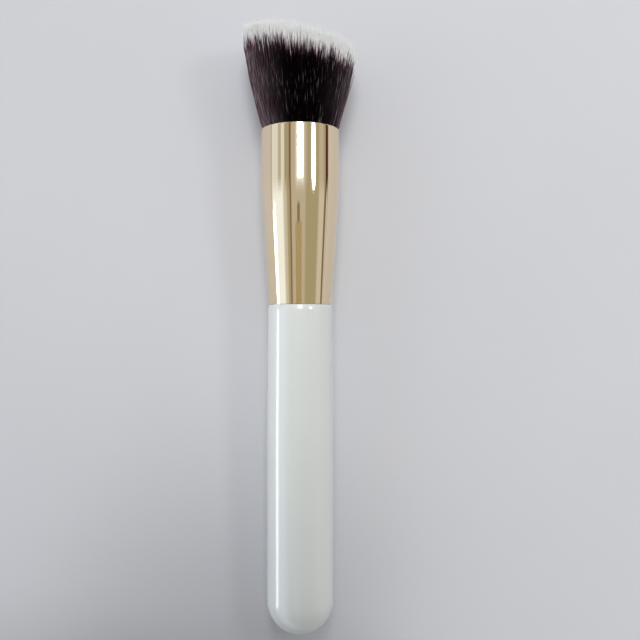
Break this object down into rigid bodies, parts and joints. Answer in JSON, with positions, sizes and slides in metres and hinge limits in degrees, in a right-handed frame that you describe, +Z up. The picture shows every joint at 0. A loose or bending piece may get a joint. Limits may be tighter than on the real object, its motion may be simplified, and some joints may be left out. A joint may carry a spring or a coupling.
{
  "type": "kabuki makeup brush",
  "caption": "Hand-held face brush: a dense flared bundle with a slanted flat cut and white tips, in a tapered metal ferrule on a glossy round-ended handle.",
  "frame": {"origin": "on the table, under the middle of the box round the brush as it lies", "axes": "+Y runs along the brush from the butt of the handle to the filaments, +X across it, with the longer filaments on the -X side, and +Z up from the table; the brush's own axis rises 2.2 degrees from the table towards the filaments"},
  "size_m": [0.0287, 0.1614, 0.0288],
  "materials": {
    "handle_lacquer": "turned hardwood under glossy white lacquer",
    "ferrule_metal": "polished, anodised champagne gold",
    "dyed_fibre": "dark purple-brown dyed fibre with undyed white tips",
    "thread": "undyed twisted thread",
    "resin": "clear amber epoxy",
    "adhesive": "set cream adhesive"
  },
  "bodies": {
    "root": {"handle": "handle_lacquer", "ferrule": "ferrule_metal", "filaments": "dyed_fibre", "tie_thread": "thread", "root_resin": "resin", "tenon_glue": "adhesive"}
  },
  "joints": []
}
